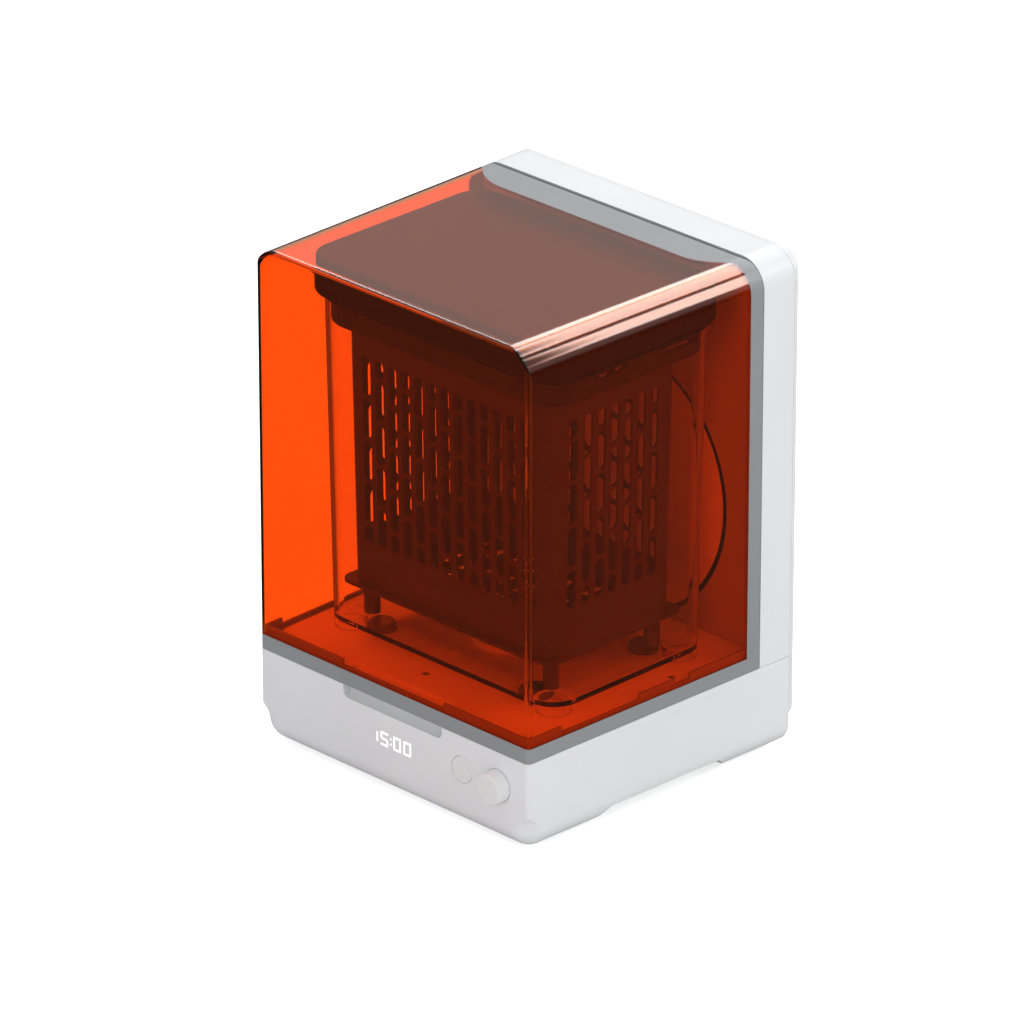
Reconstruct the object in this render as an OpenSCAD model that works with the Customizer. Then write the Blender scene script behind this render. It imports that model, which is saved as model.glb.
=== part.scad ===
// Bench wash and light curing unit for printed dental parts.
// Millimetres, +Z up. The origin is on the bench under the middle of the unit, its knob included.
// -Y is the front.

/* [Body] */
// Width across the front
front_w = 272; // [268:1:276]
// Depth from the front face to the rear face
depth = 264; // [262:1:266]
// Height from the bench to the top
height = 386; // [384:1:390]
// Angle by which each side opens out towards the rear, in degrees
flare = 1.363; // [1.0:0.01:1.5]
// Wall of the mouldings
wall = 3; // [2.6:0.1:3.2]
// Rounding of the upright edges
upright_r = 4.5; // [4:0.5:6]
// Rounding of the bottom edge
bottom_r = 17; // [14:1:18]
// Rounding between the top and the sides
top_r = 21.6; // [20:0.2:23]
// How far the rubber feet stand below the base
foot_h = 2; // [1.5:0.5:2]

/* [Base] */
// Height of the base's front wall top edge, where the hood's frame begins
base_top = 72.9; // [72:0.1:74]
// Height of the grey band that closes on the base
band_h = 11.5; // [11:0.1:12]
// Width of the finger recess below the band
recess_w = 100; // [90:1:104]
// Rise of the arch between the front and rear feet
arch_h = 11; // [8:0.5:12]

/* [Hood] */
// Front edge of the grey frame on the sides, measured from the front face
frame_side_y = 214.8; // [212:0.1:217]
// Front edge of the grey frame in the middle of the top, from the front face
frame_top_y = 196.35; // [192:0.1:200]
// Rear edge of the hood, from the front face
hood_rear_y = 227.1; // [226.8:0.1:227.3]

/* [Controls] */
// Diameter of the turning knob
knob_d = 24.5; // [22:0.5:26]
// How far the knob stands out
knob_out = 10.5; // [8:0.5:12]
// Diameter of the start button
button_d = 20; // [16:0.5:21]
// Height of the display digits
digit_h = 10.6; // [9:0.1:12]

/* [Wash tank] */
// Outer length of the tank at its bottom
tank_w = 232; // [226:1:234]
// Outer width of the tank at its bottom
tank_d = 158; // [152:1:160]
// Growth of each side of the tank from bottom to rim
tank_draft = 4.5; // [3:0.5:5]
// Corner radius of the tank
tank_r = 22; // [20:1:26]
// Height of the tank's feet
tank_foot_h = 8.2; // [7:0.2:9]

/* [Basket] */
// Distance between slot columns round the basket
slot_pitch = 13.15; // [12.5:0.05:14]
// Width of a slot
slot_w = 8.8; // [7:0.2:9]
// Length of a slot
slot_l = 30.2; // [26:0.2:31]

/* [Light] */
// Diameter of the round light window's frame groove
window_d = 212; // [200:1:214]
// Height of the light window's centre
window_z = 182.3; // [180:0.1:185]

/* [Hidden] */
$fn = 64;
eps = 0.01;
front = -depth / 2;
rear = depth / 2;
reach = 320;
seam = 0.3;
panel_y = rear - 5.9;
column_y = front + 227.6;
hood_y = front + hood_rear_y;
band_top = base_top + band_h;
deck_z = band_top;
panel_t = 3;

// All shapes below are drawn about the middle of the housing. The knob stands out in front of it,
// so the whole unit moves back by half of that to put the origin under its middle.
module in_frame() {
  translate([0, knob_out / 2, 0]) children();
}

// Plan and profile helpers

function half_w(y) = front_w / 2 + (y + depth / 2) * tan(flare);
function unit(v) = v / norm(v);
function corner_half_angle(p, q, s) = acos(unit(p - q) * unit(s - q)) / 2;
// Tangent points of a rounded corner q between its neighbours p and s
function corner_points(p, q, s, r) =
  r <= 0 ? [q] :
  let (t = r / tan(corner_half_angle(p, q, s)))
  [q + unit(p - q) * t, q + unit(s - q) * t];
function corner_centre(p, q, s, r) =
  q + unit(unit(p - q) + unit(s - q)) * r / sin(corner_half_angle(p, q, s));

// A convex outline whose corners are true arcs
module rounded(points, radii) {
  n = len(points);
  polygon([for (i = [0 : n - 1])
    each corner_points(points[(i + n - 1) % n], points[i], points[(i + 1) % n], radii[i])]);
  for (i = [0 : n - 1])
    if (radii[i] > 0)
      translate(corner_centre(points[(i + n - 1) % n], points[i], points[(i + 1) % n], radii[i]))
        circle(r = radii[i]);
}

module rounded_rect(w, h, r) {
  rounded([[-w / 2, -h / 2], [w / 2, -h / 2], [w / 2, h / 2], [-w / 2, h / 2]], [r, r, r, r]);
}

module along_x(x0, x1) {
  translate([x0, 0, 0]) rotate([90, 0, 90]) linear_extrude(x1 - x0) children();
}

module along_y(y0, y1) {
  translate([0, y1, 0]) rotate([90, 0, 0]) linear_extrude(y1 - y0) children();
}

module along_z(z0, z1) {
  translate([0, 0, z0]) linear_extrude(z1 - z0) children();
}

module block(x0, x1, y0, y1, z0, z1) {
  translate([x0, y0, z0]) cube([x1 - x0, y1 - y0, z1 - z0]);
}

// A plate with rounded corners in plan, and its lower and upper edges rounded
module soft_plate(w, d, r, z0, z1, r0, r1) {
  for (sx = [-1, 1])
    for (sy = [-1, 1])
      translate([sx * (w / 2 - r), sy * (d / 2 - r), 0])
        rotate_extrude()
          rounded([[0, z0], [r, z0], [r, z1], [0, z1]], [0, r0, r1, 0]);
  along_y(-d / 2 + r, d / 2 - r)
    rounded([[-w / 2, z0], [w / 2, z0], [w / 2, z1], [-w / 2, z1]], [r0, r0, r1, r1]);
  along_x(-w / 2 + r, w / 2 - r)
    rounded([[-d / 2, z0], [d / 2, z0], [d / 2, z1], [-d / 2, z1]], [r0, r0, r1, r1]);
}

// A tub whose sides lean out: the corner radius and each side grow by the same amount
module drafted(w, d, r, z0, z1, growth) {
  for (sx = [-1, 1])
    for (sy = [-1, 1])
      translate([sx * (w / 2 - r), sy * (d / 2 - r), z0])
        cylinder(r1 = r, r2 = r + growth, h = z1 - z0);
  along_y(-d / 2 + r, d / 2 - r)
    polygon([[-w / 2, z0], [w / 2, z0], [w / 2 + growth, z1], [-w / 2 - growth, z1]]);
  along_x(-w / 2 + r, w / 2 - r)
    polygon([[-d / 2, z0], [d / 2, z0], [d / 2 + growth, z1], [-d / 2 - growth, z1]]);
}

// A round bar along Y, given by its centre line and ends
module rod_y(x, z, r, y0, y1) {
  translate([x, y1, z]) rotate([90, 0, 0]) cylinder(r = r, h = y1 - y0);
}

module rod_z(x, y, r, z0, z1) {
  translate([x, y, z0]) cylinder(r = r, h = z1 - z0);
}

module rod_x(y, z, r, x0, x1) {
  translate([x0, y, z]) rotate([0, 90, 0]) cylinder(r = r, h = x1 - x0);
}

// The whole machine's outer skin, moved inwards by inset

module plan_outline(inset, r) {
  y0 = front + inset;
  y1 = rear - inset;
  rounded([[-half_w(y0) + inset, y0], [half_w(y0) - inset, y0],
    [half_w(y1) - inset, y1], [-half_w(y1) + inset, y1]], [r, r, r, r]);
}

module flank(inset) {
  z0 = foot_h + inset;
  z1 = height - inset;
  rb = max(bottom_r - inset, 1);
  rt = max(top_r - inset, 1);
  translate([front_w / 2, front, 0])
    rotate([0, 0, -flare])
      along_y(-30, depth + 30)
        rounded([[-reach, z0], [-inset, z0], [-inset, z1], [-reach, z1]], [0, rb, rt, 0]);
}

module side_view(inset) {
  y0 = front + inset;
  y1 = rear - inset;
  z0 = foot_h + inset;
  z1 = height - inset;
  rb = max(bottom_r - inset, 1);
  along_x(-reach, reach)
    rounded([[y0, z0], [y1, z0], [y1, z1], [y0, z1]], [rb, rb, 3, 2.5]);
}

module envelope(inset, plan_r = 0) {
  r = plan_r > 0 ? plan_r : max(upright_r - inset, 1);
  intersection() {
    along_z(foot_h + inset, height - inset) plan_outline(inset, r);
    flank(inset);
    mirror([1, 0, 0]) flank(inset);
    side_view(inset);
  }
}

// A horizontal slice of the envelope between two heights and two depths
module slice(inset, y0, y1, z0, z1, plan_r = 0) {
  intersection() {
    envelope(inset, plan_r);
    block(-reach, reach, y0, y1, z0, z1);
  }
}

// Base

arch_front_y = front + 67;
arch_rear_y = front + 204;
arch_curve = 17;
// Each lower corner is a ball, and above it the corner narrows to the upright edge's own rounding
ball_z = foot_h + bottom_r;
ball_ease = 0.05;
narrow_h = 12;
narrow_out = (bottom_r - upright_r) * 0.44;
recess_h = 9.6;
recess_r = 12;
recess_back = 11.5;
button_x = 70.1;
knob_x = 105.5;
control_z = 47;
digits_z = 43.55;
display_x = 1.5;
knob_shaft_r = 3;
panel_screw_at = [[123, 34], [127, 118], [129, 250], [112, 366]];
deck_screw_at = [[-3.5, -94], [-122, 24], [122, 24], [0, 86]];
column_screw_r = 1.5;
supply_screw_at = [[30, 40], [110, 40], [30, 100], [110, 100]];
supply_z = 21;
board_screw_at = [[-112, 16], [-112, 52], [44, 16], [44, 52]];
board_y = front + 14;

// Half cosine rise from a foot to the arch, and the same moved outwards by skin
module arch_profile(skin = 0) {
  steps = 10;
  spread = skin / 2;
  front_rise = [for (i = [0 : steps])
    [arch_front_y - spread + arch_curve * i / steps, foot_h + skin + arch_h * (1 - cos(180 * i / steps)) / 2]];
  rear_fall = [for (i = [0 : steps])
    [arch_rear_y + spread - arch_curve * (1 - i / steps),
      foot_h + skin + arch_h * (1 + cos(180 * i / steps)) / 2]];
  polygon(concat([[arch_front_y - spread, foot_h - 5]], front_rise, rear_fall,
    [[arch_rear_y + spread, foot_h - 5]]));
}

// Corner k of the plan outline, and its neighbours on either side
plan_points = [[-half_w(front), front], [half_w(front), front], [half_w(rear), rear], [-half_w(rear), rear]];
function around(k) = [plan_points[(k + 3) % 4], plan_points[k], plan_points[(k + 1) % 4]];

// What fills a lower corner: a ball, then a flare that reaches past the upright edge
module corner_fill(r) {
  rotate_extrude()
    intersection() {
      square([reach, ball_z + narrow_h]);
      union() {
        translate([0, ball_z]) circle(r);
        polygon([[0, ball_z], [r, ball_z], [r + narrow_out * 0.3, ball_z + narrow_h / 2],
          [r + narrow_out, ball_z + narrow_h], [0, ball_z + narrow_h]]);
      }
    }
}

// What is cut from the envelope's lower corner k to make it soft
module corner_cut(k, inset) {
  a = around(k);
  c = corner_centre(a[0], a[1], a[2], bottom_r);
  t = corner_points(a[0], a[1], a[2], bottom_r);
  difference() {
    along_z(0, ball_z + narrow_h)
      polygon([c, c + (t[0] - c) * 1.3, c + (a[1] - c) * 1.5, c + (t[1] - c) * 1.3]);
    translate(c) corner_fill(bottom_r - inset + ball_ease);
  }
}

// A slice of the envelope whose lower corners in the list are soft
module soft_slice(inset, y0, y1, z0, z1, corners) {
  difference() {
    slice(inset, y0, y1, z0, z1);
    for (k = corners)
      corner_cut(k, inset);
  }
}

// Finger recess: a scoop under the hood's band with rounded lower corners
module recess_cut(grow = 0) {
  intersection() {
    rod_x(front - 1, base_top + 2, recess_r + grow, -recess_w, recess_w);
    along_y(front - 5, front + recess_back + grow)
      rounded([[-recess_w / 2 - grow, base_top - recess_h - grow],
        [recess_w / 2 + grow, base_top - recess_h - grow],
        [recess_w / 2 + grow, base_top + 3 * grow + 1],
        [-recess_w / 2 - grow, base_top + 3 * grow + 1]], [5, 5, 0, 0]);
  }
}

module panel_boss(x, z) {
  wall_x = half_w(panel_y) - wall / 2;
  side = sign(x);
  rod_y(x, z, 4.5, panel_y - 22, panel_y);
  if (z < height - 30)
    block(min(x, side * wall_x), max(x, side * wall_x), panel_y - 22, panel_y, z - 1.2, z + 1.2);
  else
    block(x - 1.2, x + 1.2, panel_y - 22, panel_y, z, height - wall / 2);
}

module base_tub() {
  color("whitesmoke") in_frame()
  difference() {
    union() {
      difference() {
        soft_slice(0, front - 1, panel_y, 0, base_top - seam / 2, [0, 1]);
        difference() {
          soft_slice(wall, front, rear, foot_h + wall, base_top + 5, [0 : 3]);
          along_x(-reach, reach) arch_profile(wall);
        }
      }
      // Ledge inside the rim that carries the deck
      difference() {
        slice(wall - eps, front, column_y, base_top - 6.7, base_top - 3.7);
        slice(7, front, rear, 0, base_top);
      }
      // Wall behind the finger recess
      intersection() {
        recess_cut(wall);
        slice(0, front, 0, 0, base_top - seam / 2);
      }
      for (side = [-1, 1])
        panel_boss(side * panel_screw_at[0][0], panel_screw_at[0][1]);
      // Posts for the deck, the power supply and the control board
      for (p = deck_screw_at)
        rod_z(p[0], p[1], 4, foot_h + wall - eps, base_top);
      for (p = supply_screw_at)
        rod_z(p[0], p[1], 3.5, foot_h + wall - eps, supply_z);
      for (p = board_screw_at)
        rod_y(p[0], p[1], 3, front + wall - eps, board_y);
    }
    recess_cut();
    along_x(-reach, reach) arch_profile();
    for (x = [-112, 112])
      for (y = [-102, 102])
        rod_z(x, y, 9.1, 0, foot_h + 1);
    rod_y(button_x, control_z, button_d / 2 + 0.35, front - 1, front + wall + 1);
    rod_y(knob_x, control_z, knob_shaft_r + 0.5, front - 1, front + wall + 1);
    rod_y(knob_x, control_z, knob_d / 2 + 0.5, front - 1, front + 0.8);
    digit_bars(0.1, front - 1, front + wall + 1);
    for (side = [-1, 1])
      rod_y(side * panel_screw_at[0][0], panel_screw_at[0][1], column_screw_r, panel_y - 16, panel_y + 1);
    for (p = deck_screw_at)
      rod_z(p[0], p[1], 1.3, base_top - 10, base_top + 1);
    for (p = supply_screw_at)
      rod_z(p[0], p[1], 1.3, supply_z - 7, supply_z + 1);
    for (p = board_screw_at)
      rod_y(p[0], p[1], 1.3, board_y - 9, board_y + 1);
  }
}

module rubber_feet() {
  color("dimgray") in_frame()
  for (x = [-112, 112])
    for (y = [-102, 102])
      translate([x, y, 0])
        rotate_extrude()
          polygon([[0, 0], [8.2, 0], [9, 0.8], [9, foot_h + 1], [0, foot_h + 1]]);
}

// Deck

deck_inset = 8.2;
deck_corner = 13;
drive_y = -10;
plinth_r = 28;
plinth_h = 5;
latch_x = 30;

module deck_plate() {
  color("gainsboro") in_frame()
  difference() {
    union() {
      slice(deck_inset, front, column_y - 0.4, base_top - 4, deck_z, deck_corner);
      // Flange that rests on the base's ledge
      slice(wall + 0.3, front, column_y - 0.4, base_top - 3.7, base_top - 1.2);
      rod_z(0, drive_y, plinth_r, deck_z - panel_t, deck_z + plinth_h);
    }
    difference() {
      slice(deck_inset + 2.5, front, column_y - 2.9, 0, deck_z - panel_t, deck_corner - 2.5);
      for (p = deck_screw_at)
        rod_z(p[0], p[1], 3.5, base_top, deck_z);
    }
    rod_z(0, drive_y, plinth_r - 2.5, 0, deck_z + plinth_h - panel_t);
    // Shallow step behind the finger recess
    along_z(deck_z - 2.2, deck_z + 1)
      rounded([[-50, front], [54, front], [54, front + 19], [-50, front + 19]], [0, 3, 5, 5]);
    // Room for the wall of the finger recess
    block(-recess_w / 2 - 4, recess_w / 2 + 4, front, front + 15.5, 0, base_top + 0.3);
    for (p = deck_screw_at) {
      rod_z(p[0], p[1], 1.3, 0, deck_z + 1);
      rod_z(p[0], p[1], 3.1, deck_z - 1.4, deck_z + 1);
    }
  }
}

module deck_screws() {
  color("silver") in_frame()
  for (p = deck_screw_at)
    translate([p[0], p[1], 0]) {
      rod_z(0, 0, 1.25, deck_z - 18, deck_z - 1.4);
      difference() {
        translate([0, 0, deck_z - 1.4])
          rotate_extrude()
            polygon([[0, 0], [2.9, 0], [2.9, 0.8], [2.2, 1.3], [0, 1.4]]);
        for (a = [0, 90])
          translate([0, 0, deck_z])
            rotate([0, 0, a])
              cube([3, 0.7, 1.2], center = true);
      }
    }
}

// Domed pads that hold the tank level
pad_x = 76.7;
pad_y = 52.2;
pad_mid_y = -12.2;

module tank_pads() {
  color("saddlebrown") in_frame()
  for (x = [-pad_x, pad_x])
    for (y = [pad_mid_y - pad_y, pad_mid_y + pad_y])
      translate([x, y, deck_z])
        rotate_extrude()
          polygon(concat([[0, 0], [11, 0], [11, 2]],
            [for (a = [15 : 15 : 90]) [3.5 + 7.5 * cos(a), 2 + 5.8 * sin(a)]], [[0, 7.8]]));
}

// Column with the light

hinge_y = hood_y - 4.5;
hinge_z = height - 4.5;
hinge_r = 4.5;
hinge_xs = [-80, 80];
hinge_half = 12;
hinge_pin_r = 1.5;
hinge_fit = 0.05;
ring_r = 2.9;
foot_z0 = hinge_z - 13;
foot_z1 = hinge_z - 8;
hinge_plate_y = column_y + wall + 2;
hinge_screw_at = [for (x = hinge_xs) for (dx = [-7, 7]) [x + dx, hinge_z - 22]];
ledge_r = window_d / 2 - 5;
sink_half = 98;
sink_post = 90;

module column_shell() {
  color("whitesmoke") in_frame()
  difference() {
    union() {
      difference() {
        slice(0, column_y, panel_y, base_top - seam / 2, height + 1);
        slice(wall, column_y + wall, rear, 0, height);
        rod_y(0, window_z, window_d / 2, column_y - 1, column_y + wall + eps);
      }
      // Ledge behind the light window
      difference() {
        rod_y(0, window_z, window_d / 2 + 2, column_y + wall - eps, column_y + wall + 2);
        rod_y(0, window_z, ledge_r, column_y, column_y + wall + 3);
      }
      for (side = [-1, 1])
        for (i = [1 : 3])
          panel_boss(side * panel_screw_at[i][0], panel_screw_at[i][1]);
      for (x = [-sink_post, sink_post])
        for (z = [window_z - sink_post, window_z + sink_post])
          rod_y(x, z, 4, column_y + wall - eps, led_y + 1.6);
    }
    // Fine groove where the column stands on the base
    difference() {
      slice(0, column_y - 1, rear, base_top - 1, base_top + 0.25);
      slice(0.6, column_y - 2, rear, base_top - 2, base_top + 1);
    }
    for (x = hinge_xs)
      block(x - hinge_half - seam, x + hinge_half + seam, column_y - 1, column_y + wall + 1,
        foot_z0 - seam, foot_z1 + seam);
    for (p = hinge_screw_at)
      rod_y(p[0], p[1], 1.3, column_y + 0.6, column_y + wall + 1);
    for (side = [-1, 1])
      for (i = [1 : 3])
        rod_y(side * panel_screw_at[i][0], panel_screw_at[i][1], column_screw_r, panel_y - 16, panel_y + 1);
    for (x = [-sink_post, sink_post])
      for (z = [window_z - sink_post, window_z + sink_post])
        rod_y(x, z, 1.3, column_y + wall + 2, led_y + 3);
  }
}

// Rear panel with its vents and connections

fan_z = 334;
fan_w = 80;
fan_screw_at = [for (x = [-36, 36]) for (z = [-36, 36]) [x, fan_z + z]];
inlet_x = -92;
switch_x = -52;
plug_z = 36;
vent_rows = 9;
vent_pitch = 8;
vent_z = 96;

module vent_slots() {
  for (side = [-1, 1])
    for (i = [0 : vent_rows - 1])
      along_y(panel_y - 1, rear + 1)
        translate([side * 52, vent_z + i * vent_pitch])
          rounded_rect(64, 3.4, 1.6);
}

module fan_grille() {
  intersection() {
    rod_y(0, fan_z, 37, panel_y - 1, rear + 1);
    for (i = [-5 : 5])
      along_y(panel_y - 1, rear + 1)
        translate([0, fan_z + i * 6.6])
          rounded_rect(76, 3.6, 1.7);
  }
}

module rear_panel() {
  color("whitesmoke") in_frame()
  difference() {
    soft_slice(0, panel_y, rear + 1, 0, height + 1, [2, 3]);
    soft_slice(wall, 0, rear, 0, height, [2, 3]);
    vent_slots();
    difference() {
      fan_grille();
      rod_y(0, fan_z, 9, panel_y - 2, rear + 2);
    }
    along_y(panel_y - 1, rear + 1) {
      translate([inlet_x, plug_z]) rounded_rect(28.4, 20.4, 3);
      translate([switch_x, plug_z]) rounded_rect(13.4, 19.4, 0.8);
    }
    for (p = concat(panel_screw_at, [for (q = panel_screw_at) [-q[0], q[1]]], fan_screw_at)) {
      rod_y(p[0], p[1], 1.8, panel_y - 1, rear + 1);
      rod_y(p[0], p[1], 3.3, rear - 1.6, rear + 1);
    }
    // Fine groove round the panel's joint
    difference() {
      slice(0, panel_y - 1, panel_y + 0.35, 0, height + 1);
      soft_slice(0.6, panel_y - 2, panel_y + 1, 0, height + 1, [2, 3]);
    }
  }
}

// A countersunk panel screw with a cross recess, its head towards +Y
module panel_screw(x, z, shank) {
  difference() {
    union() {
      rod_y(x, z, 1.45, rear - 1.5 - shank, rear - 1.5);
      rod_y(x, z, 3, rear - 1.6, rear - 0.2);
    }
    for (a = [0, 90])
      translate([x, rear - 0.2, z])
        rotate([0, a, 0])
          cube([3.4, 1.2, 0.7], center = true);
  }
}

module rear_panel_screws() {
  color("silver") in_frame()
  for (side = [-1, 1])
    for (p = panel_screw_at)
      panel_screw(side * p[0], p[1], 14);
}

module fan_screws() {
  color("silver") in_frame()
  for (p = fan_screw_at)
    panel_screw(p[0], p[1], 13);
}

// Light

led_y = column_y + 8.8;
led_rings = [[0, 1], [26, 6], [52, 12], [76, 18]];

module light_window() {
  color("mistyrose") in_frame()
  rod_y(0, window_z, window_d / 2 - 4.2, column_y + 0.3, column_y + wall - 0.02);
}

module window_gasket() {
  color("black") in_frame()
  difference() {
    rod_y(0, window_z, window_d / 2 - 0.1, column_y + 0.8, column_y + wall - 0.02);
    rod_y(0, window_z, window_d / 2 - 4.1, column_y, column_y + wall + 1);
  }
}

module led_board() {
  color("darkgreen") in_frame()
  difference() {
    rod_y(0, window_z, 88, led_y, led_y + 1.6);
    for (a = [45 : 90 : 315])
      rod_y(82 * cos(a), window_z + 82 * sin(a), 1.6, led_y - 1, led_y + 2);
  }
}

module uv_leds() {
  color("lightyellow") in_frame()
  for (ring = led_rings)
    for (i = [0 : ring[1] - 1])
      let (a = 360 * i / ring[1])
        translate([ring[0] * cos(a), led_y, window_z + ring[0] * sin(a)]) {
          translate([-2.2, -1, -2.2]) cube([4.4, 1, 4.4]);
          rotate([90, 0, 0]) rotate_extrude() polygon([[0, 1], [1.7, 1], [1.6, 1.6], [1, 2.1], [0, 2.3]]);
        }
}

module heat_sink() {
  fins = 17;
  base_y = led_y + 1.6;
  color("silver") in_frame()
  difference() {
    union() {
      block(-sink_half, sink_half, base_y, base_y + 3, window_z - sink_half, window_z + sink_half);
      for (i = [0 : fins - 1])
        let (x = (i - (fins - 1) / 2) * 9.6)
          block(x - 0.9, x + 0.9, base_y + 2.9, base_y + 13, window_z - sink_half, window_z + sink_half);
    }
    for (x = [-sink_post, sink_post])
      for (z = [window_z - sink_post, window_z + sink_post])
        rod_y(x, z, 1.8, base_y - 1, base_y + 4);
  }
}

module heat_sink_screws() {
  base_y = led_y + 4.6;
  color("dimgray") in_frame()
  for (x = [-sink_post, sink_post])
    for (z = [window_z - sink_post, window_z + sink_post]) {
      rod_y(x, z, 1.25, led_y - 1, base_y + 0.1);
      rod_y(x, z, 2.8, base_y, base_y + 2);
    }
}

// Fan

fan_y1 = rear - wall;
fan_y0 = fan_y1 - 15;

module fan_frame() {
  color("dimgray") in_frame()
  difference() {
    union() {
      difference() {
        along_y(fan_y0, fan_y1) translate([0, fan_z]) rounded_rect(fan_w, fan_w, 4);
        rod_y(0, fan_z, 37.6, fan_y0 - 1, fan_y1 + 1);
      }
      rod_y(0, fan_z, 14, fan_y1 - 3, fan_y1);
      for (a = [45, 135])
        translate([0, fan_y1 - 1.5, fan_z])
          rotate([0, a, 0])
            cube([77, 3, 3], center = true);
    }
    rod_y(0, fan_z, 1.55, fan_y0, fan_y1 + 1);
    for (p = fan_screw_at)
      rod_y(p[0], p[1], 1.55, fan_y0 - 1, fan_y1 + 1);
  }
}

module fan_rotor() {
  blades = 7;
  color("black") in_frame()
  union() {
    difference() {
      rod_y(0, fan_z, 16, fan_y0 + 1, fan_y1 - 3.6);
      rod_y(0, fan_z, 14.4, fan_y0 + 2.4, fan_y1);
    }
    rod_y(0, fan_z, 1.5, fan_y0 + 1.5, fan_y1 - 0.8);
    for (i = [0 : blades - 1])
      translate([0, (fan_y0 + fan_y1 - 3) / 2, fan_z])
        rotate([0, 360 * i / blades, 0])
          translate([25.6, 0, 0])
            rotate([38, 0, 0])
              cube([21.4, 1.4, 13], center = true);
  }
}

// Magnetic stirring drive under the deck

motor_top = deck_z - 13.4;
motor_shaft_r = 2.5;

module drive_motor() {
  color("silver") in_frame()
  difference() {
    union() {
      rod_z(0, drive_y, 21, motor_top - 27, motor_top);
      rod_z(0, drive_y, 6, motor_top - eps, motor_top + 3);
    }
    rod_z(0, drive_y, 18, motor_top - 24.5, motor_top - 6);
    rod_z(0, drive_y, 2.55, motor_top - 26, motor_top + 4);
    for (a = [45 : 90 : 315])
      rod_z(15 * cos(a), drive_y + 15 * sin(a), 1.5, motor_top - 5, motor_top + 1);
  }
}

module motor_rotor() {
  color("gray") in_frame()
  difference() {
    rod_z(0, drive_y, 15.5, motor_top - 22.5, motor_top - 8.5);
    rod_z(0, drive_y, motor_shaft_r, motor_top - 23, motor_top - 8);
  }
}

module motor_bracket() {
  color("lightsteelblue") in_frame()
  difference() {
    union() {
      along_z(motor_top, motor_top + 2) translate([0, drive_y]) rounded_rect(78, 78, 6);
      for (x = [-33, 33])
        for (y = [-33, 33])
          rod_z(x, drive_y + y, 3.5, motor_top + 1.9, deck_z - panel_t);
    }
    rod_z(0, drive_y, 6.2, motor_top - 1, motor_top + 3);
    for (a = [45 : 90 : 315])
      rod_z(15 * cos(a), drive_y + 15 * sin(a), 1.7, motor_top - 1, motor_top + 3);
  }
}

module motor_screws() {
  color("dimgray") in_frame()
  for (a = [45 : 90 : 315])
    translate([15 * cos(a), drive_y + 15 * sin(a), 0]) {
      rod_z(0, 0, 1.4, motor_top - 4, motor_top + 2.1);
      rod_z(0, 0, 2.6, motor_top + 2, motor_top + 3.8);
    }
}

holder_z = motor_top + 6.4;

module motor_shaft() {
  color("gray") in_frame()
  rod_z(0, drive_y, motor_shaft_r, motor_top - 25.5, holder_z + 7);
}

module magnet_holder() {
  color("slategray") in_frame()
  difference() {
    rod_z(0, drive_y, 24, holder_z, holder_z + 8.6);
    rod_z(0, drive_y, motor_shaft_r, holder_z - 1, holder_z + 7);
    for (a = [0 : 90 : 270])
      rod_z(15 * cos(a), drive_y + 15 * sin(a), 5, holder_z + 4.6, holder_z + 9);
  }
}

module drive_magnets() {
  color("silver") in_frame()
  for (a = [0 : 90 : 270])
    rod_z(15 * cos(a), drive_y + 15 * sin(a), 5, holder_z + 4.6, holder_z + 8.6);
}

// Controls

module control_board() {
  color("darkgreen") in_frame()
  difference() {
    block(-118, 122, board_y, board_y + 1.6, 12, 60);
    block(-recess_w / 2 - 8, recess_w / 2 + 8, board_y - 1, board_y + 2, 54, 61);
    for (p = board_screw_at)
      rod_y(p[0], p[1], 1.6, board_y - 1, board_y + 2);
    rod_y(knob_x, control_z, 3.6, board_y - 1, board_y + 2);
  }
}

// Seven bar digits: a row of bar switches and a left edge for each figure shown
bar_t = 1.4;
bar_gap = 0.3;
digit_w = 7.5;
colon_x = -1.75;
figures = [[0, 0, 1, 0, 0, 1, 0], [1, 1, 0, 1, 0, 1, 1], [1, 1, 1, 0, 1, 1, 1], [1, 1, 1, 0, 1, 1, 1]];
figure_x = [-22.2, -11.95, 1.05, 11.3];

// Left, bottom, width and height of bar i: top, upper left, upper right, middle, lower left,
// lower right, bottom
function bar_box(i) =
  let (w = digit_w, h = digit_h, t = bar_t, g = bar_gap, side = h / 2 - t - 1.5 * g)
  i == 0 ? [0, h - t, w, t] :
  i == 1 ? [0, h / 2 + g / 2, t, side] :
  i == 2 ? [w - t, h / 2 + g / 2, t, side] :
  i == 3 ? [t + g, h / 2 - t / 2, w - 2 * t - 2 * g, t] :
  i == 4 ? [0, t + g, t, side] :
  i == 5 ? [w - t, t + g, t, side] :
  [0, 0, w, t];

module digit_bars(grow, y0, y1) {
  along_y(y0, y1)
    translate([0, digits_z - digit_h / 2]) {
      for (k = [0 : 3])
        for (i = [0 : 6])
          if (figures[k][i] == 1)
            let (b = bar_box(i))
              translate([figure_x[k] + b[0] - grow, b[1] - grow])
                square([b[2] + 2 * grow, b[3] + 2 * grow]);
      for (z = [0.3, 0.7])
        translate([colon_x, digit_h * z]) square(bar_t + 2 * grow, center = true);
    }
}

module display_digits() {
  color("white") in_frame()
  digit_bars(0, front - 0.05, front + wall + 0.5);
}

module display_module() {
  color("black") in_frame()
  block(display_x - 23, display_x + 23, front + wall + 0.5, board_y, digits_z - 10, digits_z + 9.5);
}

module knob_encoder() {
  color("silver") in_frame()
  difference() {
    union() {
      block(knob_x - 6.5, knob_x + 6.5, board_y - 7, board_y, control_z - 6.5, control_z + 6.5);
      rod_y(knob_x, control_z, 5, board_y - 9.5, board_y - 6.9);
    }
    rod_y(knob_x, control_z, knob_shaft_r + 0.05, board_y - 11, board_y - 1);
  }
}

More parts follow.
